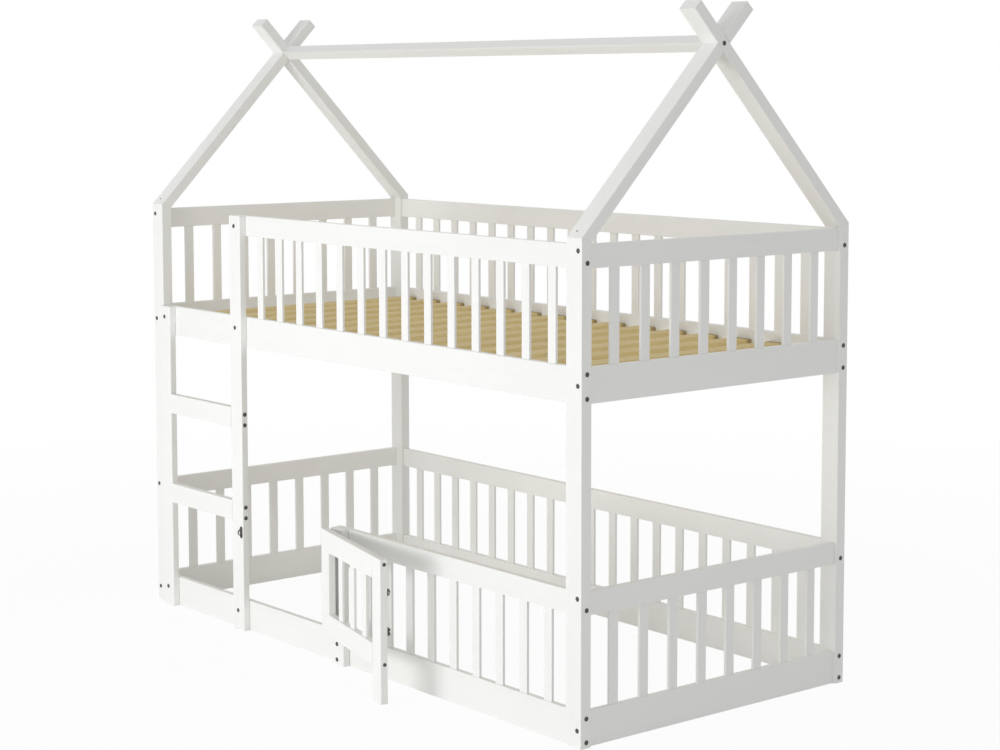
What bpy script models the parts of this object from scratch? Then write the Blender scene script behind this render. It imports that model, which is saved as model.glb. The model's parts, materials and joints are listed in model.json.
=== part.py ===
"""House bunk bed: two beds in a house-shaped timber frame, with a ladder and a low hinged gate.

Units are metres and +Z is up. The bed stands on Z = 0, with the origin under the middle of the
floor space that it takes with its gate open. Places in this file are measured from the outer
foot of the front left post: X along the bed from its ladder end, Y across it to the back.
"""

import math

import bmesh
import bpy
from mathutils import Matrix, Vector

# Whole bed
BED_LENGTH = 2.060
BED_WIDTH = 0.970
FIT = 0.0003
EDGE_ROUND = 0.002
CUT_OVERRUN = 0.010
ROUND_SIDES = 24
SHARP_EDGE = math.radians(30.0)

# Corner posts and roof
POST_HEIGHT = 1.280
POST_WIDTH = 0.058
POST_DEPTH = 0.032
ROOF_PITCH = math.radians(46.0)
RAFTER_TAIL = 0.136

# Rails
RAIL_THICKNESS = 0.018
RAIL_RECESS = 0.007
SLIM_RAIL_HEIGHT = 0.061
DEEP_RAIL_HEIGHT = 0.092
GUARD_BELOW_POST_TOP = 0.016
PLATFORM_TOP = 0.959
LOWER_GUARD_TOP = 0.396

# Balusters
BALUSTER_WIDTH = 0.030
BALUSTER_THICKNESS = 0.008
BALUSTER_SEAT = 0.012
BALUSTER_ROUND = 0.001
FRONT_UPPER_COUNT = 14
FRONT_UPPER_END_GAP = 0.054
FRONT_LOWER_COUNT = 9
BACK_COUNT = 19
END_COUNT = 8
GATE_COUNT = 3

# Slatted base of the upper bed
SLAT_COUNT = 15
SLAT_WIDTH = 0.064
SLAT_THICKNESS = 0.018
SLAT_FIRST_GAP = 0.049
SLAT_BELOW_PLATFORM_TOP = 0.0285
SLAT_END_GAP = 0.002
LEDGER_WIDTH = 0.022
LEDGER_HEIGHT = 0.030

# Ladder
UPRIGHT_WIDTH = 0.060
UPRIGHT_THICKNESS = 0.021
LADDER_CLEAR_WIDTH = 0.3537
RUNG_HEIGHT = 0.061
RUNG_RISE = 0.286

# Gate
DOORWAY_WIDTH = 0.463
GATE_OPEN_ANGLE = math.radians(-14.6)
GATE_SETBACK = 0.001
GATE_LATCH_GAP = 0.002
GATE_SILL_GAP = 0.0035
GATE_FLOOR_GAP = 0.002

# Gate hinges
HINGE_HEIGHT = 0.060
HINGE_INSET = 0.022
HINGE_PLATE_THICKNESS = 0.0014
HINGE_PLATE_DEPTH = 0.017
KNUCKLE_RADIUS = 0.0035
PIN_RADIUS = 0.0015
PIN_HEAD_RADIUS = 0.0026
PIN_HEAD_HEIGHT = 0.0015

# Barrel bolt and keeper
LATCH_HEIGHT = 0.304
FITTING_THICKNESS = 0.0012
FITTING_CORNER = 0.003
BOLT_RADIUS = 0.0035
BOLT_CLEARANCE = 0.0003
BOLT_THROW = 0.018
BOLT_TIP_SETBACK = 0.001
BOLT_ENGAGED = 0.004
BOLT_TIP_ROUND = 0.001
BOLT_KNOB_RADIUS = 0.003
BOLT_KNOB_NECK = 0.0018
BOLT_KNOB_HEAD = 0.0035
BOLT_KNOB_REACH = 0.0102
STRAP_RADIUS = 0.0105
STRAP_WIDTH = 0.006
STRAP_MARGIN = 0.003
BARREL_SETBACK = 0.006
BARREL_PLATE_HEIGHT = 0.030
KEEPER_HEIGHT = 0.036
KEEPER_WIDTH = 0.013
KEEPER_SETBACK = 0.0033
KEEPER_LOOP_WALL = 0.0015
KEEPER_LOOP_WIDTH = 0.005

# Finger pull of the gate
PULL_MIDDLE = 0.1958
PULL_SETBACK = 0.009
PULL_WIDTH = 0.020
PULL_RIB_RADIUS = 0.0054
PULL_RIB_SPACING = 0.0106
PULL_WEB_HEIGHT = 0.012
PULL_PLATE_MARGIN = 0.002

# Sizes that follow from those above
UPPER_GUARD_TOP = POST_HEIGHT - GUARD_BELOW_POST_TOP
UPPER_RUNG_TOP = LOWER_GUARD_TOP + RUNG_RISE
SLAT_TOP = PLATFORM_TOP - SLAT_BELOW_PLATFORM_TOP
RAFTER_DEPTH = POST_DEPTH
MITRE_DROP = RAFTER_DEPTH / math.cos(ROOF_PITCH) - POST_DEPTH * math.tan(ROOF_PITCH)
ROOF_PEAK = POST_HEIGHT + BED_WIDTH / 2 * math.tan(ROOF_PITCH)
CROSSING_HEIGHT = ROOF_PEAK - RAFTER_DEPTH / 2 / math.cos(ROOF_PITCH)

RAIL_INNER_FACE = RAIL_RECESS + RAIL_THICKNESS
RAIL_MIDDLE = RAIL_RECESS + RAIL_THICKNESS / 2
RAIL_START_X = POST_WIDTH + FIT
RAIL_END_X = BED_LENGTH - RAIL_START_X
RAIL_START_Y = POST_DEPTH + FIT
RAIL_END_Y = BED_WIDTH - RAIL_START_Y
UPPER_GUARD_BOTTOM = UPPER_GUARD_TOP - SLIM_RAIL_HEIGHT
LOWER_GUARD_BOTTOM = LOWER_GUARD_TOP - SLIM_RAIL_HEIGHT

UPRIGHT_BACK = RAIL_RECESS - FIT
UPRIGHT_FRONT = UPRIGHT_BACK - UPRIGHT_THICKNESS
LEFT_STILE_X = RAIL_START_X
RIGHT_STILE_X = LEFT_STILE_X + UPRIGHT_WIDTH + LADDER_CLEAR_WIDTH
DOORWAY_X = RIGHT_STILE_X + UPRIGHT_WIDTH
GATE_POST_X = DOORWAY_X + DOORWAY_WIDTH

HINGE_GAP = 2 * HINGE_PLATE_THICKNESS + 3 * FIT
HINGE_X = GATE_POST_X - HINGE_GAP / 2
HINGE_Y = RAIL_RECESS - GATE_SETBACK - UPRIGHT_THICKNESS - KNUCKLE_RADIUS

# Places on the gate, measured from its hinge line along the gate and out through its front
GATE_EDGE = HINGE_GAP / 2
GATE_END = HINGE_GAP / 2 + DOORWAY_WIDTH - HINGE_GAP - GATE_LATCH_GAP
GATE_FRONT = -KNUCKLE_RADIUS
GATE_BACK = GATE_FRONT - UPRIGHT_THICKNESS
GATE_BOTTOM = DEEP_RAIL_HEIGHT + GATE_SILL_GAP
FITTING_BACK = GATE_FRONT + FIT
FITTING_FRONT = FITTING_BACK + FITTING_THICKNESS
BOLT_AXIS = FITTING_FRONT + FIT + BOLT_RADIUS + BOLT_CLEARANCE
FRONT_STRAP = GATE_END - BARREL_SETBACK - STRAP_MARGIN - STRAP_WIDTH
REAR_STRAP = FRONT_STRAP - BOLT_THROW - 2 * (BOLT_KNOB_RADIUS + BOLT_CLEARANCE) - STRAP_WIDTH

GATE_REACH = -HINGE_Y - GATE_END * math.sin(GATE_OPEN_ANGLE) - GATE_BACK * math.cos(GATE_OPEN_ANGLE)
MIDDLE_X = BED_LENGTH / 2
MIDDLE_Y = (BED_WIDTH - GATE_REACH) / 2

WHITE_LACQUER = {"colour": (0.86, 0.86, 0.84), "roughness": 0.42, "metallic": 0.0}
BARE_PINE = {"colour": (0.62, 0.44, 0.22), "roughness": 0.62, "metallic": 0.0}
DARK_STEEL = {"colour": (0.045, 0.043, 0.040), "roughness": 0.38, "metallic": 0.9}


def clear_scene():
    """Remove every object, so that the model starts from an empty scene."""
    for old in list(bpy.data.objects):
        bpy.data.objects.remove(old, do_unlink=True)


def new_collection(name):
    """Make a collection in the scene."""
    collection = bpy.data.collections.new(name)
    bpy.context.scene.collection.children.link(collection)
    return collection


def new_empty(name, location, turn=0.0, parent=None):
    """Make an empty that pieces are placed from, turned about the upright axis."""
    empty = bpy.data.objects.new(name, None)
    empty.location = location
    empty.rotation_euler = (0.0, 0.0, turn)
    empty.parent = parent
    BED.objects.link(empty)
    return empty


def new_material(name, finish):
    """Make one piece's own material from its finish."""
    material = bpy.data.materials.new(name)
    material.use_nodes = True
    shader = material.node_tree.nodes["Principled BSDF"]
    shader.inputs["Base Color"].default_value = (*finish["colour"], 1.0)
    shader.inputs["Roughness"].default_value = finish["roughness"]
    shader.inputs["Metallic"].default_value = finish["metallic"]
    return material


def add_box(bm, low, high):
    """Add a box between two corners."""
    low, high = Vector(low), Vector(high)
    size = Matrix.Diagonal((*(high - low), 1.0))
    bmesh.ops.create_cube(bm, size=1.0, matrix=Matrix.Translation((low + high) / 2) @ size)


def add_rod(bm, start, end, radius):
    """Add a solid round rod between two points."""
    start, end = Vector(start), Vector(end)
    turn = Vector((0.0, 0.0, 1.0)).rotation_difference(end - start).to_matrix().to_4x4()
    rod = bmesh.ops.create_cone(
        bm,
        cap_ends=True,
        segments=ROUND_SIDES,
        radius1=radius,
        radius2=radius,
        depth=(end - start).length,
        matrix=Matrix.Translation((start + end) / 2) @ turn,
    )
    for face in {face for vert in rod["verts"] for face in vert.link_faces}:
        face.smooth = len(face.verts) < ROUND_SIDES


def saw(bm, point, normal):
    """Cut off what lies beyond a plane, on the side that its normal points to."""
    everything = bm.verts[:] + bm.edges[:] + bm.faces[:]
    cut = bmesh.ops.bisect_plane(bm, geom=everything, plane_co=point, plane_no=normal, clear_outer=True)
    rim = [item for item in cut["geom_cut"] if isinstance(item, bmesh.types.BMEdge)]
    bmesh.ops.contextual_create(bm, geom=rim)


def mark_edges(bm, axis=None):
    """Mark the edges that run along an axis, or all edges, as the ones to round."""
    weight = bm.edges.layers.float.new("bevel_weight_edge")
    for edge in bm.edges:
        direction = (edge.verts[1].co - edge.verts[0].co).normalized()
        if axis is None or abs(direction.dot(Vector(axis))) > math.cos(math.radians(1.0)):
            edge[weight] = 1.0


def finish_mesh(bm, name):
    """Turn a bmesh into a mesh with its faces pointing out."""
    bmesh.ops.recalc_face_normals(bm, faces=bm.faces[:])
    mesh = bpy.data.meshes.new(name)
    bm.to_mesh(mesh)
    bm.free()
    return mesh


def place(name, mesh, finish, location=(0.0, 0.0, 0.0), rotation=(0.0, 0.0, 0.0), parent=None):
    """Put one piece of the bed in its collection."""
    mesh.materials.append(new_material(name, finish))
    piece = bpy.data.objects.new(name, mesh)
    piece.location = location
    piece.rotation_euler = rotation
    piece.parent = parent or FRAME
    BED.objects.link(piece)
    return piece


def place_tool(name, mesh, location=(0.0, 0.0, 0.0), rotation=(0.0, 0.0, 0.0), parent=None):
    """Put a shape that cuts a piece, or is joined to it, in the cutters' collection."""
    tool = bpy.data.objects.new(name, mesh)
    tool.location = location
    tool.rotation_euler = rotation
    tool.parent = parent or FRAME
    tool.hide_render = True
    tool.display_type = "WIRE"
    CUTTERS.objects.link(tool)
    return tool


def round_edges(piece, radius=EDGE_ROUND, segments=2):
    """Round the marked edges of a piece."""
    bevel = piece.modifiers.new("rounded edges", "BEVEL")
    bevel.limit_method = "WEIGHT"
    bevel.width = radius
    bevel.segments = segments


def combine(piece, tool, operation):
    """Join a tool's shape to a piece, or cut it out."""
    boolean = piece.modifiers.new(tool.name, "BOOLEAN")
    boolean.operation = operation
    boolean.solver = "EXACT"
    boolean.object = tool


def turned_mesh(name, points):
    """Turn a profile of radius and height points, from the top down, about the Z axis."""
    bm = bmesh.new()
    verts = [bm.verts.new((radius, 0.0, height)) for radius, height in points]
    edges = [bm.edges.new(pair) for pair in zip(verts, verts[1:])]
    bmesh.ops.spin(
        bm,
        geom=verts + edges,
        axis=(0.0, 0.0, 1.0),
        cent=(0.0, 0.0, 0.0),
        angle=math.tau,
        steps=ROUND_SIDES,
    )
    bmesh.ops.remove_doubles(bm, verts=bm.verts[:], dist=FIT / 100)
    mesh = finish_mesh(bm, name)
    mesh.shade_smooth()
    mesh.set_sharp_from_angle(angle=SHARP_EDGE)
    return mesh


def board(name, low, high, axis=None, finish=WHITE_LACQUER, parent=None):
    """Make a planed board between two corners, rounded along an axis or on every edge."""
    centre = (Vector(low) + Vector(high)) / 2
    bm = bmesh.new()
    add_box(bm, Vector(low) - centre, Vector(high) - centre)
    mark_edges(bm, axis)
    piece = place(name, finish_mesh(bm, name), finish, centre, parent=parent)
    round_edges(piece)
    return piece


def even_starts(start, end, count):
    """Give the near edges of balusters that stand with even gaps between two ends."""
    gap = (end - start - count * BALUSTER_WIDTH) / (count + 1)
    return [start + gap + index * (BALUSTER_WIDTH + gap) for index in range(count)]


def starts_with_end_gap(start, end, count, end_gap):
    """Give the near edges of balusters whose first and last gaps have a size of their own."""
    first = start + end_gap
    last = end - end_gap - BALUSTER_WIDTH
    return [first + index * (last - first) / (count - 1) for index in range(count)]


def bar_mesh(name, starts, run, middle, low, high, clearance):
    """Make a row of upright bars, or with a clearance the mortises that they seat in."""
    half = BALUSTER_THICKNESS / 2 + clearance
    bm = bmesh.new()
    for start in starts:
        near, far = start - clearance, start + BALUSTER_WIDTH + clearance
        if run == "X":
            add_box(bm, (near, middle - half, low), (far, middle + half, high))
        else:
            add_box(bm, (middle - half, near, low), (middle + half, far, high))
    mark_edges(bm, (0.0, 0.0, 1.0))
    return finish_mesh(bm, name)


def add_balusters(upper, sill, starts, run, middle, rail_bottom, sill_top, parent=None):
    """Fix a row of balusters in the rail above them, and house their feet in the rail below."""
    foot = sill_top - BALUSTER_SEAT
    name = upper.name + "_balusters"
    mesh = bar_mesh(name, starts, run, middle, foot, rail_bottom + BALUSTER_SEAT, 0.0)
    bars = place_tool(name, mesh, parent=parent)
    round_edges(bars, BALUSTER_ROUND)
    combine(upper, bars, "UNION")
    name = sill.name + "_mortises"
    mesh = bar_mesh(name, starts, run, middle, foot - FIT, sill_top + CUT_OVERRUN, FIT)
    combine(sill, place_tool(name, mesh, parent=parent), "DIFFERENCE")


def make_posts():
    """Make the four corner posts, whose tops are mitred to carry the rafters."""
    for side, y, turn in (("front", POST_DEPTH / 2, 0.0), ("back", BED_WIDTH - POST_DEPTH / 2, math.pi)):
        for end, x in (("left", POST_WIDTH / 2), ("right", BED_LENGTH - POST_WIDTH / 2)):
            name = f"post_{side}_{end}"
            half = Vector((POST_WIDTH / 2, POST_DEPTH / 2, 0.0))
            bm = bmesh.new()
            add_box(bm, -half, half + Vector((0.0, 0.0, POST_HEIGHT)))
            saw(bm, (0.0, -POST_DEPTH / 2, POST_HEIGHT), (0.0, MITRE_DROP, POST_DEPTH))
            mark_edges(bm, (0.0, 0.0, 1.0))
            mesh = finish_mesh(bm, name)
            round_edges(place(name, mesh, WHITE_LACQUER, (x, y, 0.0), (0.0, 0.0, turn)))


def rafter_mesh(name):
    """Make one rafter about the crossing, running up along its own +Y with its top face at +Z."""
    half_run = BED_WIDTH / 2
    foot = Vector((0.0, -half_run, POST_HEIGHT - CROSSING_HEIGHT))
    mitre = Vector((0.0, MITRE_DROP, POST_DEPTH))
    unturn = Matrix.Rotation(-ROOF_PITCH, 3, "X")
    reach = half_run / math.cos(ROOF_PITCH) + RAFTER_DEPTH
    low = (-POST_WIDTH / 2, -reach, -RAFTER_DEPTH / 2)
    bm = bmesh.new()
    add_box(bm, low, (POST_WIDTH / 2, RAFTER_TAIL, RAFTER_DEPTH / 2))
    saw(bm, unturn @ (foot + mitre.normalized() * FIT), unturn @ -mitre)
    mark_edges(bm, (0.0, 1.0, 0.0))
    return finish_mesh(bm, name)


def lap_mesh():
    """Make the half-width slot that one rafter of a pair leaves for the other."""
    half_depth = RAFTER_DEPTH / 2 + FIT
    bm = bmesh.new()
    add_box(
        bm,
        (-FIT / 2, -RAFTER_TAIL, -half_depth),
        (POST_WIDTH / 2 + CUT_OVERRUN, RAFTER_TAIL, half_depth),
    )
    return finish_mesh(bm, "rafter_lap")


def make_roof():
    """Make the rafters, half-lapped where they cross, and the ridge beam between the crossings."""
    slot = lap_mesh()
    for side, turn in (("front", 0.0), ("back", math.pi)):
        for end, x in (("left", POST_WIDTH / 2), ("right", BED_LENGTH - POST_WIDTH / 2)):
            name = f"rafter_{side}_{end}"
            crossing = (x, BED_WIDTH / 2, CROSSING_HEIGHT)
            rafter = place(name, rafter_mesh(name), WHITE_LACQUER, crossing, (ROOF_PITCH, 0.0, turn))
            round_edges(rafter)
            lap = place_tool(name + "_lap", slot, crossing, (math.pi - ROOF_PITCH, 0.0, turn))
            combine(rafter, lap, "DIFFERENCE")
    half = Vector((BED_LENGTH / 2 - RAIL_START_X, RAFTER_DEPTH / 2, RAFTER_DEPTH / 2))
    bm = bmesh.new()
    add_box(bm, -half, half)
    mark_edges(bm, (1.0, 0.0, 0.0))
    mesh = finish_mesh(bm, "ridge_beam")
    middle = (BED_LENGTH / 2, BED_WIDTH / 2, CROSSING_HEIGHT)
    round_edges(place("ridge_beam", mesh, WHITE_LACQUER, middle, (math.radians(45.0), 0.0, 0.0)))


def long_rail(name, side, top, height, start=RAIL_START_X):
    """Make a rail along one side of the bed, down from its top."""
    near = RAIL_RECESS if side == "front" else BED_WIDTH - RAIL_INNER_FACE
    low = (start, near, top - height)
    return board(name, low, (RAIL_END_X, near + RAIL_THICKNESS, top), (1.0, 0.0, 0.0))


def end_rail(name, end, top, height):
    """Make a rail across one end of the bed, down from its top."""
    near = RAIL_RECESS if end == "left" else BED_LENGTH - RAIL_INNER_FACE
    low = (near, RAIL_START_Y, top - height)
    return board(name, low, (near + RAIL_THICKNESS, RAIL_END_Y, top), (0.0, 1.0, 0.0))


def make_sides():
    """Make the long rails of both sides, with the balusters of their guards."""
    upper_front = starts_with_end_gap(DOORWAY_X, RAIL_END_X, FRONT_UPPER_COUNT, FRONT_UPPER_END_GAP)
    lower_front = even_starts(GATE_POST_X + UPRIGHT_WIDTH, RAIL_END_X, FRONT_LOWER_COUNT)
    back = even_starts(RAIL_START_X, RAIL_END_X, BACK_COUNT)
    for side, middle, upper_x, upper_starts, lower_x, lower_starts in (
        ("front", RAIL_MIDDLE, RIGHT_STILE_X, upper_front, GATE_POST_X, lower_front),
        ("back", BED_WIDTH - RAIL_MIDDLE, RAIL_START_X, back, RAIL_START_X, back),
    ):
        platform = long_rail(side + "_platform_rail", side, PLATFORM_TOP, DEEP_RAIL_HEIGHT)
        bottom = long_rail(side + "_bottom_rail", side, DEEP_RAIL_HEIGHT, DEEP_RAIL_HEIGHT)
        upper = long_rail(side + "_upper_guard", side, UPPER_GUARD_TOP, SLIM_RAIL_HEIGHT, upper_x)
        lower = long_rail(side + "_lower_guard", side, LOWER_GUARD_TOP, SLIM_RAIL_HEIGHT, lower_x)
        add_balusters(upper, platform, upper_starts, "X", middle, UPPER_GUARD_BOTTOM, PLATFORM_TOP)
        add_balusters(lower, bottom, lower_starts, "X", middle, LOWER_GUARD_BOTTOM, DEEP_RAIL_HEIGHT)


def make_ends():
    """Make the end rails, with the balusters of their guards."""
    starts = even_starts(RAIL_START_Y, RAIL_END_Y, END_COUNT)
    for end, middle in (("left", RAIL_MIDDLE), ("right", BED_LENGTH - RAIL_MIDDLE)):
        platform = end_rail(end + "_platform_rail", end, PLATFORM_TOP, DEEP_RAIL_HEIGHT)
        bottom = end_rail(end + "_bottom_rail", end, DEEP_RAIL_HEIGHT, DEEP_RAIL_HEIGHT)
        upper = end_rail(end + "_upper_guard", end, UPPER_GUARD_TOP, SLIM_RAIL_HEIGHT)
        lower = end_rail(end + "_lower_guard", end, LOWER_GUARD_TOP, SLIM_RAIL_HEIGHT)
        add_balusters(upper, platform, starts, "Y", middle, UPPER_GUARD_BOTTOM, PLATFORM_TOP)
        add_balusters(lower, bottom, starts, "Y", middle, LOWER_GUARD_BOTTOM, DEEP_RAIL_HEIGHT)


def make_slats():
    """Make the slats of the upper bed, and the ledgers inside the platform rails that carry them."""
    slat_bottom = SLAT_TOP - SLAT_THICKNESS
    ledger_top = slat_bottom - FIT
    inner = RAIL_INNER_FACE + FIT
    for side, near in (("front", inner), ("back", BED_WIDTH - inner - LEDGER_WIDTH)):
        low = (RAIL_START_X, near, ledger_top - LEDGER_HEIGHT)
        high = (RAIL_END_X, near + LEDGER_WIDTH, ledger_top)
        board("slat_ledger_" + side, low, high, (1.0, 0.0, 0.0), BARE_PINE)
    first = RAIL_INNER_FACE + SLAT_FIRST_GAP
    pitch = (BED_LENGTH - 2 * first - SLAT_WIDTH) / (SLAT_COUNT - 1)
    end_y = RAIL_INNER_FACE + SLAT_END_GAP
    for index in range(SLAT_COUNT):
        start = first + index * pitch
        low = (start, end_y, slat_bottom)
        high = (start + SLAT_WIDTH, BED_WIDTH - end_y, SLAT_TOP)
        board(f"slat_{index + 1:02d}", low, high, (0.0, 1.0, 0.0), BARE_PINE)


def upright(name, x, top):
    """Make an upright board that stands on the floor against the front rails."""
    return board(name, (x, UPRIGHT_FRONT, 0.0), (x + UPRIGHT_WIDTH, UPRIGHT_BACK, top))


def make_ladder():
    """Make the ladder's two stiles, the rungs between them, and the post that the gate hangs on."""
    upright("ladder_stile_left", LEFT_STILE_X, PLATFORM_TOP)
    upright("ladder_stile_right", RIGHT_STILE_X, UPPER_GUARD_TOP)
    upright("gate_post", GATE_POST_X, LOWER_GUARD_TOP)
    for level, top in (("lower", LOWER_GUARD_TOP), ("upper", UPPER_RUNG_TOP)):
        low = (LEFT_STILE_X + UPRIGHT_WIDTH + FIT, UPRIGHT_FRONT, top - RUNG_HEIGHT)
        board("ladder_rung_" + level, low, (RIGHT_STILE_X - FIT, UPRIGHT_BACK, top), (1.0, 0.0, 0.0))


def make_gate(pivot):
    """Make the gate's frame, whose long latch stile reaches down over the bottom rail."""
    bottom_rail_top = GATE_BOTTOM + SLIM_RAIL_HEIGHT
    inner_start = GATE_EDGE + UPRIGHT_WIDTH + FIT
    inner_end = GATE_END - UPRIGHT_WIDTH - FIT
    low = (GATE_EDGE, GATE_BACK, GATE_BOTTOM)
    board("gate_hinge_stile", low, (GATE_EDGE + UPRIGHT_WIDTH, GATE_FRONT, LOWER_GUARD_TOP), parent=pivot)
    low = (GATE_END - UPRIGHT_WIDTH, GATE_BACK, GATE_FLOOR_GAP)
    board("gate_latch_stile", low, (GATE_END, GATE_FRONT, LOWER_GUARD_TOP), parent=pivot)
    rails = []
    for level, rail_top in (("top", LOWER_GUARD_TOP), ("bottom", bottom_rail_top)):
        low = (inner_start, GATE_BACK, rail_top - SLIM_RAIL_HEIGHT)
        high = (inner_end, GATE_FRONT, rail_top)
        rails.append(board(f"gate_{level}_rail", low, high, (1.0, 0.0, 0.0), parent=pivot))
    starts = even_starts(inner_start, inner_end, GATE_COUNT)
    middle = (GATE_BACK + GATE_FRONT) / 2
    add_balusters(*rails, starts, "X", middle, LOWER_GUARD_BOTTOM, bottom_rail_top, pivot)


def hinge_leaf(name, spans, into_gap, location, parent=None):
    """Make one leaf of a butt hinge, with knuckles about its pin on the given spans of its height."""
    half = HINGE_HEIGHT / 2
    near, far = FIT / 2, FIT / 2 + HINGE_PLATE_THICKNESS
    plate_start = into_gap * (KNUCKLE_RADIUS + FIT)
    plate_end = into_gap * (KNUCKLE_RADIUS + HINGE_PLATE_DEPTH)
    bm = bmesh.new()
    add_box(bm, (near, min(plate_start, plate_end), -half), (far, max(plate_start, plate_end), half))
    leaf = place(name, finish_mesh(bm, name), DARK_STEEL, location, parent=parent)
    tab_end = into_gap * (KNUCKLE_RADIUS + 2 * FIT)
    tabs = bmesh.new()
    knuckles = bmesh.new()
    for low, high in spans:
        add_box(tabs, (near, min(0.0, tab_end), low), (far, max(0.0, tab_end), high))
        add_rod(knuckles, (0.0, 0.0, low), (0.0, 0.0, high), KNUCKLE_RADIUS)
    for suffix, bm in (("_tabs", tabs), ("_knuckles", knuckles)):
        tool = place_tool(name + suffix, finish_mesh(bm, name + suffix), location, parent=parent)
        combine(leaf, tool, "UNION")
    return leaf


def fix_pin(leaf):
    """Fix the headed hinge pin in the knuckles of a leaf, down into its lowest one."""
    head = HINGE_HEIGHT / 2
    foot = -HINGE_HEIGHT / 3
    profile = (
        (0.0, head + PIN_HEAD_HEIGHT),
        (PIN_HEAD_RADIUS, head + PIN_HEAD_HEIGHT),
        (PIN_HEAD_RADIUS, head - PIN_HEAD_HEIGHT),
        (PIN_RADIUS, head - PIN_HEAD_HEIGHT),
        (PIN_RADIUS, foot),
        (0.0, foot),
    )
    name = leaf.name + "_pin"
    combine(leaf, place_tool(name, turned_mesh(name, profile), leaf.location), "UNION")


def bore_knuckle(leaf):
    """Bore the knuckle of a leaf so that it turns about the hinge pin."""
    end = HINGE_HEIGHT / 2 + CUT_OVERRUN
    bm = bmesh.new()
    add_rod(bm, (0.0, 0.0, -end), (0.0, 0.0, end), PIN_RADIUS + FIT)
    name = leaf.name + "_bore"
    bore = place_tool(name, finish_mesh(bm, name), leaf.location, parent=leaf.parent)
    combine(leaf, bore, "DIFFERENCE")


def make_hinges(pivot):
    """Make the gate's two butt hinges: a leaf and its pin on the gate post, and a leaf on the gate."""
    half = HINGE_HEIGHT / 2
    shoulder = HINGE_HEIGHT / 6
    post_spans = ((-half, -shoulder - FIT / 2), (shoulder + FIT / 2, half))
    gate_spans = ((-shoulder + FIT / 2, shoulder - FIT / 2),)
    for level, middle in (
        ("lower", GATE_BOTTOM + HINGE_INSET + half),
        ("upper", LOWER_GUARD_TOP - HINGE_INSET - half),
    ):
        here = (HINGE_X, HINGE_Y, middle)
        fix_pin(hinge_leaf(f"hinge_{level}_post_leaf", post_spans, 1, here))
        bore_knuckle(hinge_leaf(f"hinge_{level}_gate_leaf", gate_spans, -1, (0.0, 0.0, middle), pivot))


def fitting_plate(name, low, high, corner, parent=None):
    """Make the flat plate of a fitting, with its corners rounded in outline."""
    centre = (Vector(low) + Vector(high)) / 2
    bm = bmesh.new()
    add_box(bm, Vector(low) - centre, Vector(high) - centre)
    mark_edges(bm, (0.0, 1.0, 0.0))
    plate = place(name, finish_mesh(bm, name), DARK_STEEL, centre, parent=parent)
    round_edges(plate, corner, 4)
    return plate


def half_rounds(name, starts, width, radius, base, outward, parent=None):
    """Make half-round blocks that stand on a fitting's plate and run along X."""
    bm = bmesh.new()
    for start in starts:
        add_rod(bm, (start, base, LATCH_HEIGHT), (start + width, base, LATCH_HEIGHT), radius)
    saw(bm, (0.0, base - outward * FIT, 0.0), (0.0, -outward, 0.0))
    return place_tool(name, finish_mesh(bm, name), parent=parent)


def make_barrel(pivot):
    """Make the bolt's barrel on the gate: a plate with two half-round straps, bored for the bolt."""
    plate_end = GATE_END - BARREL_SETBACK
    plate_start = REAR_STRAP - STRAP_MARGIN
    half_height = BARREL_PLATE_HEIGHT / 2
    low = (plate_start, FITTING_BACK, LATCH_HEIGHT - half_height)
    high = (plate_end, FITTING_FRONT, LATCH_HEIGHT + half_height)
    barrel = fitting_plate("latch_barrel", low, high, FITTING_CORNER, pivot)
    starts = (REAR_STRAP, FRONT_STRAP)
    straps = half_rounds("latch_straps", starts, STRAP_WIDTH, STRAP_RADIUS, FITTING_FRONT, 1, pivot)
    bm = bmesh.new()
    bore_start = (plate_start - CUT_OVERRUN, BOLT_AXIS, LATCH_HEIGHT)
    bore_end = (plate_end + CUT_OVERRUN, BOLT_AXIS, LATCH_HEIGHT)
    add_rod(bm, bore_start, bore_end, BOLT_RADIUS + BOLT_CLEARANCE)
    bore = place_tool("latch_bore", finish_mesh(bm, "latch_bore"), parent=pivot)
    combine(straps, bore, "DIFFERENCE")
    combine(barrel, straps, "UNION")


def make_bolt(pivot):
    """Make the sliding bolt, drawn back, with its turned knob between the straps."""
    tip = GATE_END - BOLT_TIP_SETBACK
    knob_x = REAR_STRAP + STRAP_WIDTH + BOLT_CLEARANCE + BOLT_KNOB_RADIUS
    tail = REAR_STRAP + STRAP_WIDTH - BOLT_ENGAGED - BOLT_THROW
    profile = (
        (0.0, tip),
        (BOLT_RADIUS - BOLT_TIP_ROUND, tip),
        (BOLT_RADIUS, tip - BOLT_TIP_ROUND),
        (BOLT_RADIUS, tail),
        (0.0, tail),
    )
    turn = (0.0, math.radians(90.0), 0.0)
    here = (0.0, BOLT_AXIS, LATCH_HEIGHT)
    bolt = place("latch_bolt", turned_mesh("latch_bolt", profile), DARK_STEEL, here, turn, pivot)
    profile = (
        (0.0, BOLT_KNOB_REACH),
        (BOLT_KNOB_NECK, BOLT_KNOB_REACH),
        (BOLT_KNOB_RADIUS, BOLT_KNOB_REACH - BOLT_KNOB_HEAD / 4),
        (BOLT_KNOB_RADIUS, BOLT_KNOB_REACH - BOLT_KNOB_HEAD * 3 / 4),
        (BOLT_KNOB_NECK, BOLT_KNOB_REACH - BOLT_KNOB_HEAD),
        (BOLT_KNOB_NECK, 0.0),
        (0.0, 0.0),
    )
    mesh = turned_mesh("latch_knob", profile)
    outward = (math.radians(-90.0), 0.0, 0.0)
    knob = place_tool("latch_knob", mesh, (knob_x, BOLT_AXIS, LATCH_HEIGHT), outward, pivot)
    combine(bolt, knob, "UNION")


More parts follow.
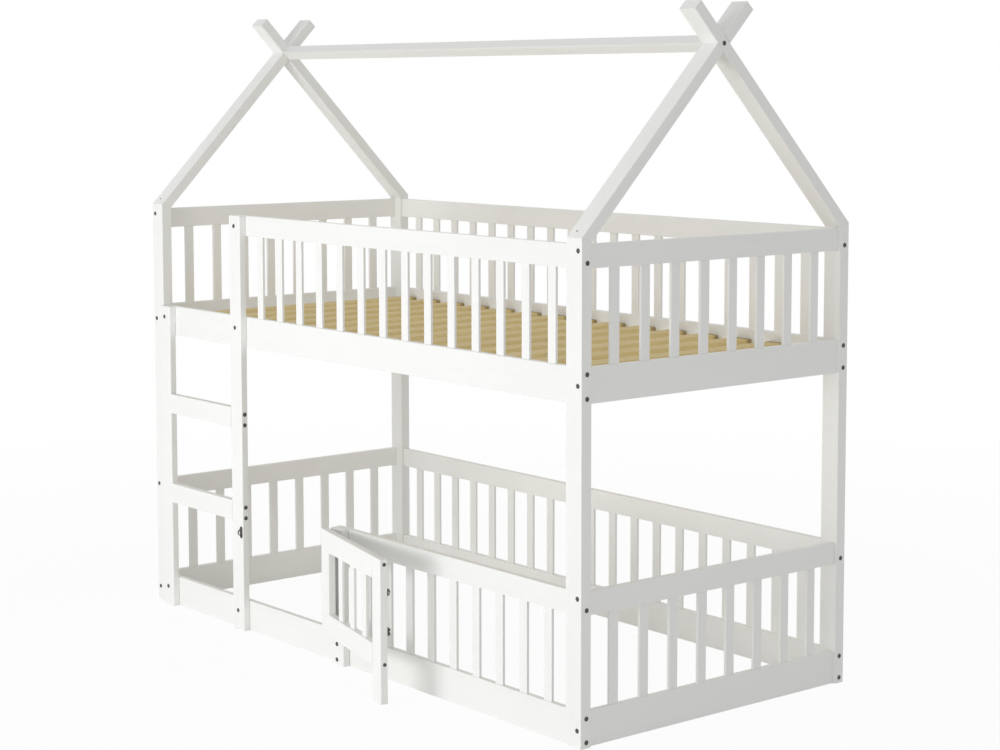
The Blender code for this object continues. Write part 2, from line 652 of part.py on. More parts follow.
def make_keeper():
    """Make the keeper on the ladder's stile: an oblong plate with a half-round loop for the bolt."""
    back = UPRIGHT_FRONT - FIT
    front = back - FITTING_THICKNESS
    plate_end = DOORWAY_X - KEEPER_SETBACK
    plate_start = plate_end - KEEPER_WIDTH
    low = (plate_start, front, LATCH_HEIGHT - KEEPER_HEIGHT / 2)
    high = (plate_end, back, LATCH_HEIGHT + KEEPER_HEIGHT / 2)
    keeper = fitting_plate("latch_keeper", low, high, KEEPER_WIDTH / 2 - FIT)
    start = (plate_start + plate_end - KEEPER_LOOP_WIDTH) / 2
    loop = half_rounds("keeper_loop", (start,), KEEPER_LOOP_WIDTH, STRAP_RADIUS, front, -1)
    bm = bmesh.new()
    hole_radius = STRAP_RADIUS - KEEPER_LOOP_WALL
    hole_start = (plate_start - CUT_OVERRUN, front, LATCH_HEIGHT)
    add_rod(bm, hole_start, (plate_end + CUT_OVERRUN, front, LATCH_HEIGHT), hole_radius)
    hole = place_tool("keeper_hole", finish_mesh(bm, "keeper_hole"))
    combine(loop, hole, "DIFFERENCE")
    combine(keeper, loop, "UNION")


def make_pull(pivot):
    """Make the gate's finger pull: two round ribs, one above the other, on a small plate."""
    start = GATE_END - PULL_SETBACK - PULL_WIDTH
    end = start + PULL_WIDTH
    plate_half = (PULL_RIB_SPACING + PULL_WEB_HEIGHT) / 2 + PULL_PLATE_MARGIN
    low = (start, FITTING_BACK, PULL_MIDDLE - plate_half)
    high = (end, FITTING_FRONT, PULL_MIDDLE + plate_half)
    pull = fitting_plate("gate_pull", low, high, FITTING_CORNER, pivot)
    rib_axis = FITTING_FRONT + PULL_RIB_RADIUS
    bm = bmesh.new()
    inset = PULL_PLATE_MARGIN
    web_low = (start + inset, FITTING_FRONT - FIT, PULL_MIDDLE - PULL_WEB_HEIGHT / 2)
    add_box(bm, web_low, (end - inset, rib_axis, PULL_MIDDLE + PULL_WEB_HEIGHT / 2))
    web = place_tool("pull_web", finish_mesh(bm, "pull_web"), parent=pivot)
    combine(pull, web, "UNION")
    for level, height in (
        ("lower", PULL_MIDDLE - PULL_RIB_SPACING / 2),
        ("upper", PULL_MIDDLE + PULL_RIB_SPACING / 2),
    ):
        name = f"pull_{level}_rib"
        bm = bmesh.new()
        rib_start = (start + inset - FIT, rib_axis, height)
        add_rod(bm, rib_start, (end - inset + FIT, rib_axis, height), PULL_RIB_RADIUS)
        rib = place_tool(name, finish_mesh(bm, name), parent=pivot)
        combine(pull, rib, "UNION")


clear_scene()
BED = new_collection("house_bunk_bed")
CUTTERS = new_collection("cutters")
FRAME = new_empty("bed_frame", (-MIDDLE_X, -MIDDLE_Y, 0.0))
PIVOT = new_empty("gate_pivot", (HINGE_X, HINGE_Y, 0.0), GATE_OPEN_ANGLE, FRAME)

make_posts()
make_roof()
make_sides()
make_ends()
make_slats()
make_ladder()
make_gate(PIVOT)
make_hinges(PIVOT)
make_barrel(PIVOT)
make_bolt(PIVOT)
make_keeper()
make_pull(PIVOT)
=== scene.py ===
"""Looks of the house bunk bed: finishes, bolt and screw heads, floor, light and camera.

Units are metres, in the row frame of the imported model.
"""

import json
import math

import bmesh
import bpy
from mathutils import Matrix, Vector


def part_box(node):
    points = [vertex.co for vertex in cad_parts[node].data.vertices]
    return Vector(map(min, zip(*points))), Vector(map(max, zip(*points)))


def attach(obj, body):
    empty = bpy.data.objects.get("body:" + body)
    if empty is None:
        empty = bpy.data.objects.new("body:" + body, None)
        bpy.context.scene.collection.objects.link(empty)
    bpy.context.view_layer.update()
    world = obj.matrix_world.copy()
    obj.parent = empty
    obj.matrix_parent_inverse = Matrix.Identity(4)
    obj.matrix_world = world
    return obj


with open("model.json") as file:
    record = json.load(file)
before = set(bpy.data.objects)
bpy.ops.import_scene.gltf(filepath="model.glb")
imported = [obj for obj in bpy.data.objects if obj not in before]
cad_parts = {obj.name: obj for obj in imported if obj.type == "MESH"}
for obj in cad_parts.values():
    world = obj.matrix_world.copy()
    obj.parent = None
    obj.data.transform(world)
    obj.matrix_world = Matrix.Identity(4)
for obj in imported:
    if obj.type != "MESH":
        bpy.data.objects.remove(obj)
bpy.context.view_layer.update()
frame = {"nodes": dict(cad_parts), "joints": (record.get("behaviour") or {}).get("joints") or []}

NODES = frame["nodes"]

# Camera of the photograph: lens and sensor in millimetres
CAMERA_PLACE = (4.9482, -3.8704, 1.6506)
CAMERA_PITCH = math.radians(90.0 - 5.153)
CAMERA_ROLL = math.radians(0.062)
CAMERA_TURN = math.radians(50.707)
CAMERA_LENS = 77.255
CAMERA_SENSOR = 36.0
CAMERA_SHIFT = -0.0956
CAMERA_NEAR = 0.05
CAMERA_FAR = 200.0

# Light: how strong it is from all round, and each lamp's name, place, target, side and watts
FILL = 0.59
LAMPS = (
    ("front", (1.042, -5.909, 1.2), (0.0, 0.0, 0.9), 1.6, 43.0),
    ("right", (4.596, -3.857, 1.2), (0.0, 0.0, 0.9), 1.6, 14.0),
    ("low", (-0.5, -4.0, 0.45), (0.0, -0.2, 0.9), 1.5, 50.0),
)
WHITE = (1.0, 1.0, 1.0, 1.0)

# Floor: its shadow shows at a share of its strength, and fades out between two distances
FLOOR_SIZE = 40.0
FLOOR_CELLS = 8
FLOOR_DROP = 0.0005
FLOOR_TONES = ((0.89, 0.89, 0.89, 1.0), (0.91, 0.91, 0.91, 1.0))
FLOOR_SPECK = {"scale": 3.0, "detail": 2.0}
FLOOR_ROUGHNESS = 0.9
FLOOR_SHADOW = 0.06
FLOOR_FADE = (1.6, 4.5)

# Directions of the grain
ROOF_PITCH = math.radians(46.0)
GATE_ANGLE = math.radians(-14.6)
GRAIN_X = (1.0, 0.0, 0.0)
GRAIN_Y = (0.0, 1.0, 0.0)
GRAIN_Z = (0.0, 0.0, 1.0)
GRAIN_RISING = (0.0, math.cos(ROOF_PITCH), math.sin(ROOF_PITCH))
GRAIN_FALLING = (0.0, math.cos(ROOF_PITCH), -math.sin(ROOF_PITCH))
GRAIN_GATE = (math.cos(GATE_ANGLE), math.sin(GATE_ANGLE), 0.0)

# Textures: scales per metre. "kept" is the share of a length along the grain that is kept.
TEXTURE_STEP = (1.37, 0.83, 2.19)
NOISE_SPAN = (0.3, 0.7)

# White satin lacquer. The back and left boards are paler, which is painted light; the ridge beam is
# duller, which is painted shade.
RAIL_HEIGHT = 0.061
WHITE_TONES = ((0.878, 0.883, 0.861, 1.0), (0.903, 0.908, 0.888, 1.0))
PAINTED_LIGHT_TONES = ((0.908, 0.913, 0.893, 1.0), (0.930, 0.935, 0.916, 1.0))
# Painted shade on the ridge beam
RIDGE_SHADE_TONES = ((0.817, 0.821, 0.801, 1.0), (0.840, 0.844, 0.826, 1.0))
LACQUER_FIBRES = {"kept": 0.012, "scale": 620.0, "detail": 3.0, "roughness": 0.6}
LACQUER_FIGURE = {"kept": 0.05, "scale": 60.0, "detail": 2.0, "roughness": 0.5}
LACQUER_CLOUD = {"scale": 7.0, "detail": 3.0}
LACQUER_SPRAY = {"scale": 900.0, "detail": 1.0}
LACQUER_WEIGHTS = {"fibres": 0.245, "figure": 0.455, "cloud": 0.3}
LACQUER_ROUGHNESS = (0.36, 0.46)
LACQUER_RELIEF = {"fibres": 0.00006, "figure": 0.00012, "spray": 0.00001}

# Bare pine. A ring's late wood darkens over one span of its width and lightens over the next.
PINE_PALE = (0.80, 0.655, 0.32, 1.0)
PINE_WARM = (0.74, 0.570, 0.25, 1.0)
PINE_LATE = (0.58, 0.400, 0.15, 1.0)
PINE_KNOT = (0.24, 0.130, 0.055, 1.0)
# Painted light on the faces that look along X, the slats' sides
PINE_SIDE_LIGHT = (0.90, 0.750, 0.38, 1.0)
# Painted shade near the slats' ends
PINE_END_SHADE = (0.17, 0.115, 0.050, 1.0)
PINE_KEPT = 0.035
PINE_WARP = {"scale": 9.0, "detail": 2.0}
PINE_CLOUD = {"scale": 14.0, "detail": 2.0}
PINE_FIBRES = {"kept": 0.010, "scale": 900.0, "detail": 3.0, "roughness": 0.6}
KNOT_SCALE = 6.0
KNOT_RIM = (0.035, 0.075)
KNOT_HALO = (0.04, 0.20)
LOG_SCALE = 3.4
RING_WIDTH = 0.0075
RING_WEIGHTS = {"log": 0.30, "warp": 0.05, "halo": 0.010}
LATE_DARKENS = (0.25, 0.88)
LATE_LIGHTENS = (0.92, 1.0)
LATE_SHARE = 0.36
FIBRE_SPAN = (0.45, 0.75)
FIBRE_SHARES = (0.0, 0.30)
# Painted light: how far a face looks along X, and how much of the lighter colour it gets
SIDE_LIGHT_FACING = (0.4, 0.9)
SIDE_LIGHT_SHARES = (0.0, 0.25)
# Painted shade: full share within the first length from an end, gone by the second
END_SHADE_LENGTH = (0.012, 0.020)
END_SHADE_SHARES = (0.58, 0.0)
PINE_ROUGHNESS = (0.66, 0.50)
PINE_RELIEF = {"fibres": 0.00010, "late": 0.00012}

# Steel: dark on the fittings and heads, brighter on the sliding bolt
STEEL_TONES = ((0.070, 0.067, 0.063, 1.0), (0.105, 0.101, 0.095, 1.0))
BRIGHT_BOLT_TONES = ((0.34, 0.33, 0.32, 1.0), (0.46, 0.45, 0.44, 1.0))
STEEL_TOOTH = {"scale": 2600.0, "detail": 2.0}
STEEL_CLOUD = {"scale": 160.0, "detail": 3.0}
STEEL_METALLIC = 0.5
STEEL_ROUGHNESS = (0.40, 0.54)
STEEL_RELIEF = 0.00002

# Heads: radius, how far it stands proud of what it is in, and radius of its socket
BOLT_HEAD = {"radius": 0.0064, "proud": 0.0009, "socket": 0.0032}
GATE_BOLT = {"radius": 0.0051, "proud": 0.0009, "socket": 0.0030}
SCREW_HEAD = {"radius": 0.0024, "proud": 0.0006, "socket": 0.0012}
FITTING_SCREW = {"radius": 0.0023, "proud": 0.0006, "socket": 0.0011}
LEAF_SCREW = {"radius": 0.0026, "proud": 0.00012, "socket": 0.0012}
HEAD_SIDES = 24
HEAD_SUNK = 0.0004
SHARP_ANGLE = math.radians(30.0)
FIRST_HEAD_TEXTURE = 71

# Chamfer of a head's rim and floor of its socket, as shares of how far the head stands proud
HEAD_CHAMFER = 0.45
SOCKET_FLOOR = 0.12

# Mouth of a head's socket as a share of the socket, and its chamfer as a share of the rim's
SOCKET_MOUTH = 1.12
SOCKET_CHAMFER = 0.4

# Bolts in the posts: insets from a post's outer corner, and heights
FACE_BOLT_INSET = 0.0142
END_BOLT_INSETS = {"front": 0.0182, "back": 0.0155}
POST_FACE_BOLTS = (0.0453, 0.3805, 0.9137, 1.2480)
POST_END_BOLTS = (0.0152, 0.0759, 0.3513, 0.8812, 0.9424, 1.2175)

# Screws in the rafters' feet: from the post's left face, and up the slope from its outer edge
FOOT_SCREW_INSET = 0.0235
FOOT_SCREW_RISE = 0.0212

# Bolts in the ladder and the gate post: insets from the left face, and heights
LADDER_BOLTS = (
    ("ladder_stile_left", 0.0277, (0.0599, 0.9256)),
    ("ladder_stile_right", 0.0274, (0.0596, 0.9261, 1.2325)),
    ("gate_post", 0.0278, (0.0156, 0.0611)),
)
RUNG_BOLT_SPACING = 0.0325
RUNG_BOLT_DROP = {"ladder_rung_lower": 0.0018, "ladder_rung_upper": 0.0036}
KEEPER_THICKNESS = 0.0015
KEEPER_SCREW_RISES = (-0.0142, 0.0142)

# Heads on the gate: places along it and out through its front, from its hinge line
GATE_END = 0.45915
GATE_END_BOLT_OUT = -0.0125
GATE_END_BOLTS = (0.110, 0.382)
LEAF_FACE = 0.00185
LEAF_SCREW_OUT = -0.0140
LEAF_SCREWS = (0.126, 0.366)
BARREL_ALONG = 0.43185
BARREL_HEIGHT = 0.304
BARREL_SCREW_OUT = -0.0020
BARREL_SCREW_STEPS = (-0.007, 0.007)
BARREL_SCREW_RISES = (-0.0113, 0.0113)


class Shader:
    """A material's node tree, with short ways to add nodes and link them."""

    def __init__(self, name):
        self.material = bpy.data.materials.new(name)
        self.material.use_nodes = True
        self.tree = self.material.node_tree
        self.surface = self.tree.nodes["Principled BSDF"]

    def put(self, node, key, value):
        """Link an output to a socket, or set the socket's own value."""
        if isinstance(value, bpy.types.NodeSocket):
            self.tree.links.new(value, node.inputs[key])
        else:
            node.inputs[key].default_value = value

    def add(self, kind, inputs, **settings):
        """Add a node of a kind with its settings and inputs."""
        node = self.tree.nodes.new(kind)
        for key, value in settings.items():
            setattr(node, key, value)
        for key, value in inputs.items():
            self.put(node, key, value)
        return node

    def math(self, operation, *values):
        """Work out a number."""
        inputs = dict(enumerate(values))
        return self.add("ShaderNodeMath", inputs, operation=operation).outputs[0]

    def total(self, *parts):
        """Add numbers up, each times its weight."""
        terms = [self.math("MULTIPLY", value, weight) for value, weight in parts]
        result = terms[0]
        for term in terms[1:]:
            result = self.math("ADD", result, term)
        return result

    def vector(self, operation, *values):
        """Work out a vector."""
        inputs = dict(enumerate(values))
        return self.add("ShaderNodeVectorMath", inputs, operation=operation).outputs[0]

    def measure(self, operation, *values):
        """Work out a number from vectors."""
        inputs = dict(enumerate(values))
        node = self.add("ShaderNodeVectorMath", inputs, operation=operation)
        return node.outputs["Value"]

    def part(self, vector, axis):
        """Take one of a vector's three numbers."""
        return self.add("ShaderNodeSeparateXYZ", {0: vector}).outputs[axis]

    def noise(self, place, scale, detail, roughness=0.5):
        """Give smooth noise from 0 to 1 at a place."""
        inputs = {"Vector": place, "Scale": scale, "Detail": detail, "Roughness": roughness}
        return self.add("ShaderNodeTexNoise", inputs).outputs["Fac"]

    def cells(self, place, scale):
        """Give the distance to the nearest of scattered points."""
        inputs = {"Vector": place, "Scale": scale}
        return self.add("ShaderNodeTexVoronoi", inputs).outputs["Distance"]

    def span(self, value, old, new=(0.0, 1.0)):
        """Map one span of numbers to another, held at its ends."""
        names = ("Value", "From Min", "From Max", "To Min", "To Max")
        inputs = dict(zip(names, (value, *old, *new)))
        return self.add("ShaderNodeMapRange", inputs).outputs[0]

    def blend(self, share, first, second):
        """Mix two colours."""
        inputs = {0: share, 6: first, 7: second}
        return self.add("ShaderNodeMix", inputs, data_type="RGBA").outputs[2]

    def choose(self, share, first, second):
        """Mix two vectors."""
        inputs = {0: share, 4: first, 5: second}
        return self.add("ShaderNodeMix", inputs, data_type="VECTOR").outputs[1]

    def on_object(self, output):
        """Give the place or the facing on the object, which goes with the piece when it moves."""
        return self.tree.nodes.new("ShaderNodeTexCoord").outputs[output]

    def drawn_out(self, place, grain, kept):
        """Squeeze a place along the grain, so that a texture there is drawn out along it."""
        along = self.measure("DOT_PRODUCT", place, grain)
        node = self.add("ShaderNodeVectorMath", {0: grain}, operation="SCALE")
        self.put(node, "Scale", self.math("MULTIPLY", along, 1.0 - kept))
        return self.vector("SUBTRACT", place, node.outputs[0])

    def fibres(self, place, grain, kept, scale, detail, roughness):
        """Give noise that is drawn out along the grain."""
        return self.noise(self.drawn_out(place, grain, kept), scale, detail, roughness)

    def bump(self, height, depth, below=None):
        """Raise a surface by a height from 0 to 1, over a depth in metres."""
        inputs = {"Height": height, "Distance": depth}
        if below is not None:
            inputs["Normal"] = below
        return self.add("ShaderNodeBump", inputs).outputs["Normal"]

    def finish(self, colour, roughness, relief):
        """Give the surface its colour, its roughness and its relief."""
        self.put(self.surface, "Base Color", colour)
        self.put(self.surface, "Roughness", roughness)
        self.put(self.surface, "Normal", relief)
        return self.material


def texture_offset(number):
    """Give each piece its own place in its texture."""
    return tuple(step * number for step in TEXTURE_STEP)


def lacquered(name, grain, number, tones, bars_below=None):
    """White satin lacquer over timber, whose grain just shows.

    A rail with bars under it has them below the height bars_below, with their grain upright.
    """
    shader = Shader(name)
    here = shader.on_object("Object")
    if bars_below is not None:
        upright = shader.math("LESS_THAN", shader.part(here, "Z"), bars_below)
        grain = shader.choose(upright, grain, GRAIN_Z)
    place = shader.vector("ADD", here, texture_offset(number))
    fibres = shader.fibres(place, grain, **LACQUER_FIBRES)
    figure = shader.fibres(place, grain, **LACQUER_FIGURE)
    cloud = shader.noise(place, **LACQUER_CLOUD)
    spray = shader.noise(place, **LACQUER_SPRAY)
    weights = LACQUER_WEIGHTS
    tone = shader.total(
        (fibres, weights["fibres"]), (figure, weights["figure"]), (cloud, weights["cloud"])
    )
    relief = shader.bump(fibres, LACQUER_RELIEF["fibres"])
    relief = shader.bump(figure, LACQUER_RELIEF["figure"], relief)
    relief = shader.bump(spray, LACQUER_RELIEF["spray"], relief)
    return shader.finish(
        shader.blend(shader.span(tone, NOISE_SPAN), *tones),
        shader.span(cloud, NOISE_SPAN, LACQUER_ROUGHNESS),
        relief,
    )


def pine(name, grain, number, middle, half_length):
    """Bare planed pine with rings along the board and the odd knot, painted light on the faces that
    look along X, and painted shade near the ends.
    """
    shader = Shader(name)
    here = shader.on_object("Object")
    place = shader.vector("ADD", here, texture_offset(number))
    along = shader.drawn_out(place, grain, PINE_KEPT)

    # Rings, which spread round a knot
    knots = shader.cells(place, KNOT_SCALE)
    depth = shader.total(
        (shader.cells(along, LOG_SCALE), RING_WEIGHTS["log"]),
        (shader.noise(along, **PINE_WARP), RING_WEIGHTS["warp"]),
        (shader.span(knots, KNOT_HALO, (1.0, 0.0)), RING_WEIGHTS["halo"]),
    )
    ring = shader.math("FRACT", shader.math("DIVIDE", depth, RING_WIDTH))
    late = shader.math(
        "MULTIPLY",
        shader.span(ring, LATE_DARKENS),
        shader.span(ring, LATE_LIGHTENS, (1.0, 0.0)),
    )
    fibres = shader.fibres(place, grain, **PINE_FIBRES)

    # Colour, from the wood itself to the painted light on the side faces and the painted shade near
    # the ends
    cloud = shader.noise(along, **PINE_CLOUD)
    colour = shader.blend(shader.span(cloud, NOISE_SPAN), PINE_PALE, PINE_WARM)
    colour = shader.blend(shader.math("MULTIPLY", late, LATE_SHARE), colour, PINE_LATE)
    colour = shader.blend(shader.span(fibres, FIBRE_SPAN, FIBRE_SHARES), colour, PINE_LATE)
    colour = shader.blend(shader.span(knots, KNOT_RIM, (1.0, 0.0)), colour, PINE_KNOT)
    # Painted light: faces that look along X, the slats' sides, are lightened
    across = shader.math("ABSOLUTE", shader.part(shader.on_object("Normal"), "X"))
    colour = shader.blend(shader.span(across, SIDE_LIGHT_FACING, SIDE_LIGHT_SHARES), colour, PINE_SIDE_LIGHT)
    # Painted shade: the colour darkens within a short length of each end of the board
    reach = shader.measure("DOT_PRODUCT", shader.vector("SUBTRACT", here, middle), grain)
    from_end = shader.math("SUBTRACT", half_length, shader.math("ABSOLUTE", reach))
    colour = shader.blend(shader.span(from_end, END_SHADE_LENGTH, END_SHADE_SHARES), colour, PINE_END_SHADE)

    relief = shader.bump(fibres, PINE_RELIEF["fibres"])
    relief = shader.bump(late, PINE_RELIEF["late"], relief)
    return shader.finish(colour, shader.span(late, (0.0, 1.0), PINE_ROUGHNESS), relief)


def steel(name, number, tones):
    """Steel with a satin finish and a fine tooth."""
    shader = Shader(name)
    place = shader.vector("ADD", shader.on_object("Object"), texture_offset(number))
    tooth = shader.noise(place, **STEEL_TOOTH)
    cloud = shader.noise(place, **STEEL_CLOUD)
    shader.put(shader.surface, "Metallic", STEEL_METALLIC)
    return shader.finish(
        shader.blend(cloud, *tones),
        shader.span(cloud, NOISE_SPAN, STEEL_ROUGHNESS),
        shader.bump(tooth, STEEL_RELIEF),
    )


def grain_of(node):
    """Tell which way a board's grain runs."""
    if node.startswith("rafter_front"):
        return GRAIN_RISING
    if node.startswith("rafter_back"):
        return GRAIN_FALLING
    if node in ("gate_top_rail", "gate_bottom_rail"):
        return GRAIN_GATE
    if node.startswith(("left_", "right_", "slat_0", "slat_1")):
        return GRAIN_Y
    if node.startswith(("front_", "back_", "ridge", "ladder_rung", "slat_ledger")):
        return GRAIN_X
    return GRAIN_Z


def finish_of(node, number):
    """Make a CAD node's finish, by what it is made of."""
    if node == "latch_bolt":
        # The sliding bolt gets a brighter steel tone
        return steel("bright_steel_" + node, number, BRIGHT_BOLT_TONES)
    if node.startswith(("hinge", "latch")) or node == "gate_pull":
        return steel("dark_steel_" + node, number, STEEL_TONES)
    low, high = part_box(node)
    grain = grain_of(node)
    if node.startswith("slat"):
        half_length = Vector(grain).dot(high - low) / 2
        return pine("bare_pine_" + node, grain, number, (low + high) / 2, half_length)
    tones = WHITE_TONES
    if node.startswith(("back_", "left_")):
        # Painted light: the back and left boards get paler tones
        tones = PAINTED_LIGHT_TONES
    elif node == "ridge_beam":
        # Painted shade: the ridge beam gets darker tones
        tones = RIDGE_SHADE_TONES
    barred = "guard" in node or node == "gate_top_rail"
    bars_below = high.z - RAIL_HEIGHT if barred else None
    return lacquered("white_lacquer_" + node, grain, number, tones, bars_below)


def dress_all():
    """Give every CAD node its finish."""
    for number, node in enumerate(sorted(NODES)):
        material = finish_of(node, number)
        for slot in NODES[node].material_slots:
            slot.material = material


def add_head(bm, middle, outward, head):
    """Add a low round head with a chamfered rim and a hexagonal socket."""
    outward = Vector(outward).normalized()
    turn = Vector((0.0, 0.0, 1.0)).rotation_difference(outward).to_matrix().to_4x4()
    matrix = Matrix.Translation(middle) @ turn
    radius, proud, socket = head["radius"], head["proud"], head["socket"]
    chamfer = proud * HEAD_CHAMFER
    rings = []
    for reach, height, hexagonal in (
        (radius, -HEAD_SUNK, False),
        (radius, proud - chamfer, False),
        (radius - chamfer, proud, False),
        (socket * SOCKET_MOUTH, proud, True),
        (socket, proud - chamfer * SOCKET_CHAMFER, True),
        (socket, proud * SOCKET_FLOOR, True),
    ):
        ring = []
        for index in range(HEAD_SIDES):
            angle = 2 * math.pi * index / HEAD_SIDES
            across = reach
            if hexagonal:
                off_middle = angle % (math.pi / 3) - math.pi / 6
                across *= math.cos(math.pi / 6) / math.cos(off_middle)
            spot = Vector((across * math.cos(angle), across * math.sin(angle), height))
            ring.append(bm.verts.new(matrix @ spot))
        rings.append(ring)
    for lower, upper in zip(rings, rings[1:]):
        for index in range(HEAD_SIDES):
            after = (index + 1) % HEAD_SIDES
            bm.faces.new((lower[index], lower[after], upper[after], upper[index]))
    bm.faces.new(rings[0][::-1])
    bm.faces.new(rings[-1])


def add_heads(name, body, places, number):
    """Make a set of heads as one piece that rides on a body."""
    bm = bmesh.new()
    for middle, outward, head in places:
        add_head(bm, middle, outward, head)
    mesh = bpy.data.meshes.new(name)
    bm.to_mesh(mesh)
    bm.free()
    mesh.shade_smooth()
    mesh.set_sharp_from_angle(angle=SHARP_ANGLE)
    mesh.materials.append(steel("dark_steel_" + name, number, STEEL_TONES))
    piece = bpy.data.objects.new(name, mesh)
    bpy.context.scene.collection.objects.link(piece)
    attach(piece, body)


def post_bolts():
    """List the bolts through the four posts into the rails, the guards and the rafters."""
    places = []
    for side, out_y in (("front", -1), ("back", 1)):
        for end, out_x in (("left", -1), ("right", 1)):
            low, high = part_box(f"post_{side}_{end}")
            outer_x = low.x if out_x < 0 else high.x
            outer_y = low.y if out_y < 0 else high.y
            for height in POST_FACE_BOLTS:
                spot = (outer_x - out_x * FACE_BOLT_INSET, outer_y, height)
                places.append((spot, (0, out_y, 0), BOLT_HEAD))
            for height in POST_END_BOLTS:
                spot = (outer_x, outer_y - out_y * END_BOLT_INSETS[side], height)
                places.append((spot, (out_x, 0, 0), BOLT_HEAD))
    return places


def roof_fasteners():
    """List the bolts through the rafters' crossings, and the screws at the rafters' feet."""
    places = []
    ridge_low, ridge_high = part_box("ridge_beam")
    middle = (ridge_low + ridge_high) / 2
    rise_y = FOOT_SCREW_RISE * math.cos(ROOF_PITCH)
    rise_z = FOOT_SCREW_RISE * math.sin(ROOF_PITCH)
    for end, out_x in (("left", -1), ("right", 1)):
        low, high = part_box(f"rafter_front_{end}")
        outer_x = low.x if out_x < 0 else high.x
        places.append(((outer_x, middle.y, middle.z), (out_x, 0, 0), BOLT_HEAD))
        for side, out_y in (("front", -1), ("back", 1)):
            low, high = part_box(f"post_{side}_{end}")
            outer_y = low.y if out_y < 0 else high.y
            spot = (low.x + FOOT_SCREW_INSET, outer_y - out_y * rise_y, high.z + rise_z)
            outward = (0, out_y * math.sin(ROOF_PITCH), math.cos(ROOF_PITCH))
            places.append((spot, outward, SCREW_HEAD))
    return places


def ladder_fasteners():
    """List the bolts through the ladder's stiles and the gate post."""
    places = []
    for node, inset, heights in LADDER_BOLTS:
        low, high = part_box(node)
        for height in heights:
            places.append(((low.x + inset, low.y, height), (0, -1, 0), BOLT_HEAD))
    outer_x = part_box("ladder_stile_right")[1].x
    for node, drop in RUNG_BOLT_DROP.items():
        low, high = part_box(node)
        middle = (low + high) / 2
        for rise in (-RUNG_BOLT_SPACING / 2, RUNG_BOLT_SPACING / 2):
            spot = (outer_x, middle.y, middle.z - drop + rise)
            places.append((spot, (1, 0, 0), BOLT_HEAD))
    return places


def keeper_screws():
    """List the keeper's screws."""
    low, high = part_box("latch_keeper")
    middle = (low + high) / 2
    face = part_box("ladder_stile_right")[0].y - KEEPER_THICKNESS
    return [
        ((middle.x, face, middle.z + rise), (0, -1, 0), FITTING_SCREW)
        for rise in KEEPER_SCREW_RISES
    ]


def gate_fasteners():
    """List the heads on the gate, each turned about the hinge line to where the gate stands."""
    hinge = next(joint for joint in frame["joints"] if joint["name"] == "gate_hinge")
    x, y, _ = hinge["pos_m"]
    turn = Matrix.Rotation(GATE_ANGLE, 3, "Z")
    on_gate = []
    for height in GATE_END_BOLTS:
        on_gate.append(((GATE_END, GATE_END_BOLT_OUT, height), (1, 0, 0), GATE_BOLT))
    for height in LEAF_SCREWS:
        on_gate.append(((LEAF_FACE, LEAF_SCREW_OUT, height), (-1, 0, 0), LEAF_SCREW))
    for step in BARREL_SCREW_STEPS:
        for rise in BARREL_SCREW_RISES:
            spot = (BARREL_ALONG + step, BARREL_SCREW_OUT, BARREL_HEIGHT + rise)
            on_gate.append((spot, (0, 1, 0), FITTING_SCREW))
    return [
        (Vector((x, y, 0.0)) + turn @ Vector(spot), turn @ Vector(outward), head)
        for spot, outward, head in on_gate
    ]


def add_light(name, place, target, size, power):
    """Put a soft square lamp at a place, facing a target."""
    data = bpy.data.lights.new(name, "AREA")
    data.shape = "SQUARE"
    data.size = size
    data.energy = power
    lamp = bpy.data.objects.new(name, data)
    lamp.location = place
    lamp.rotation_euler = (Vector(target) - Vector(place)).to_track_quat("-Z", "Y").to_euler()
    bpy.context.scene.collection.objects.link(lamp)


def shown_rays(tree):
    """Tell camera, glossy and transmission rays from the ones that only carry light."""
    path = tree.nodes.new("ShaderNodeLightPath")
    total = path.outputs["Is Camera Ray"]
    for output in ("Is Glossy Ray", "Is Transmission Ray"):
        node = tree.nodes.new("ShaderNodeMath")
        node.operation = "MAXIMUM"
        tree.links.new(total, node.inputs[0])
        tree.links.new(path.outputs[output], node.inputs[1])
        total = node.outputs[0]
    return total


def mix_shaders(tree, share, first, second):
    """Mix two shaders."""
    node = tree.nodes.new("ShaderNodeMixShader")
    for index, output in enumerate((share, first, second)):
        tree.links.new(output, node.inputs[index])
    return node.outputs[0]


def make_world():
    """Light the object from all round, and show white behind it."""
    world = bpy.data.worlds.new("studio")
    world.use_nodes = True
    tree = world.node_tree
    soft = tree.nodes["Background"]
    soft.inputs["Color"].default_value = WHITE
    soft.inputs["Strength"].default_value = FILL
    white = tree.nodes.new("ShaderNodeBackground")
    white.inputs["Color"].default_value = WHITE
    white.inputs["Strength"].default_value = 1.0
    seen = mix_shaders(tree, shown_rays(tree), soft.outputs[0], white.outputs[0])
    tree.links.new(seen, tree.nodes["World Output"].inputs["Surface"])
    bpy.context.scene.world = world


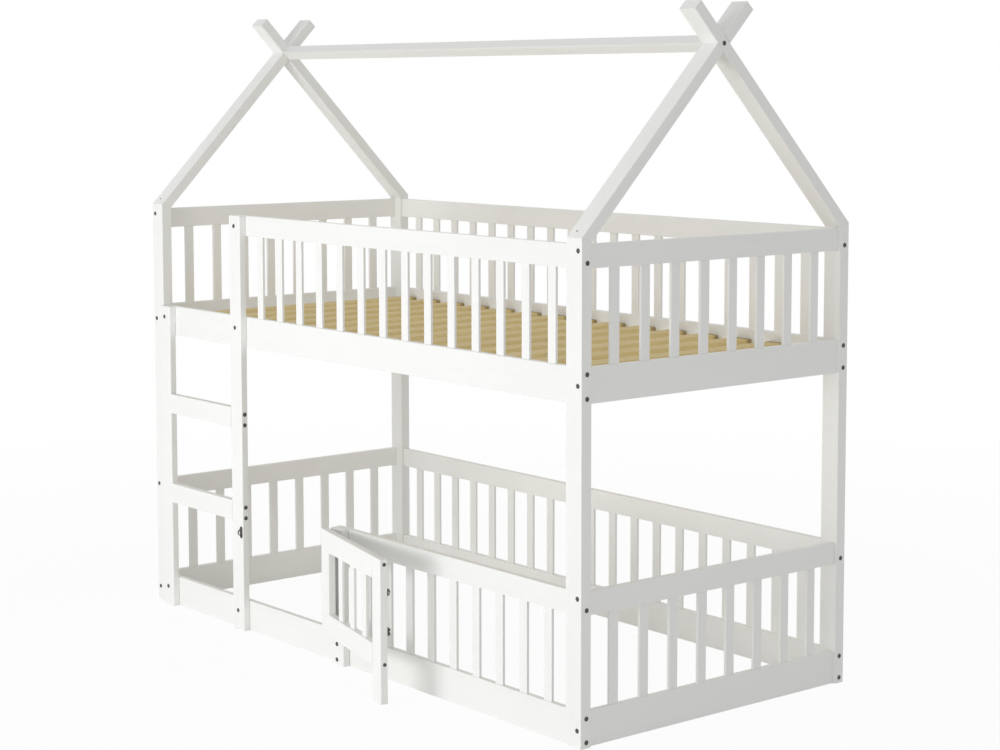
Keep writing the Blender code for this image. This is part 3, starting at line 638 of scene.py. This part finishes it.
def make_floor():
    """Lay a plain white floor that keeps a faint shadow and runs into the white behind."""
    bm = bmesh.new()
    bmesh.ops.create_grid(bm, x_segments=FLOOR_CELLS, y_segments=FLOOR_CELLS, size=FLOOR_SIZE)
    mesh = bpy.data.meshes.new("studio_floor")
    bm.to_mesh(mesh)
    bm.free()
    floor = bpy.data.objects.new("studio_floor", mesh)
    bpy.context.scene.collection.objects.link(floor)
    floor.location.z = -FLOOR_DROP

    shader = Shader("studio_floor")
    tree = shader.tree
    place = shader.on_object("Object")
    speck = shader.noise(place, **FLOOR_SPECK)
    shader.put(shader.surface, "Base Color", shader.blend(speck, *FLOOR_TONES))
    shader.put(shader.surface, "Roughness", FLOOR_ROUGHNESS)
    shader.put(shader.surface, "Specular IOR Level", 0.0)
    lit = shader.surface.outputs[0]
    white = tree.nodes.new("ShaderNodeEmission")
    white.inputs["Strength"].default_value = 1.0
    distance = shader.measure("LENGTH", place)
    shadow = shader.span(distance, FLOOR_FADE, (FLOOR_SHADOW, 0.0))
    shown = mix_shaders(tree, shadow, white.outputs[0], lit)
    seen = mix_shaders(tree, shown_rays(tree), lit, shown)
    tree.links.new(seen, tree.nodes["Material Output"].inputs["Surface"])
    mesh.materials.append(shader.material)


def make_camera():
    """Stand the camera where the photograph was taken from."""
    data = bpy.data.cameras.new("photo_camera")
    data.lens = CAMERA_LENS
    data.sensor_width = CAMERA_SENSOR
    data.sensor_fit = "HORIZONTAL"
    data.shift_y = CAMERA_SHIFT
    data.clip_start = CAMERA_NEAR
    data.clip_end = CAMERA_FAR
    camera = bpy.data.objects.new("photo_camera", data)
    camera.location = CAMERA_PLACE
    camera.rotation_euler = (CAMERA_PITCH, CAMERA_ROLL, CAMERA_TURN)
    bpy.context.scene.collection.objects.link(camera)
    bpy.context.scene.camera = camera


dress_all()
frame_bolts = post_bolts() + roof_fasteners() + ladder_fasteners()
for texture, (name, body, places) in enumerate(
    (
        ("frame_bolts", "bed_frame", frame_bolts),
        ("keeper_screws", "bed_frame", keeper_screws()),
        ("gate_bolts", "gate", gate_fasteners()),
    ),
    start=FIRST_HEAD_TEXTURE,
):
    add_heads(name, body, places, texture)

make_camera()
make_world()
make_floor()
for lamp in LAMPS:
    add_light(*lamp)
bpy.context.scene.view_settings.view_transform = "Standard"
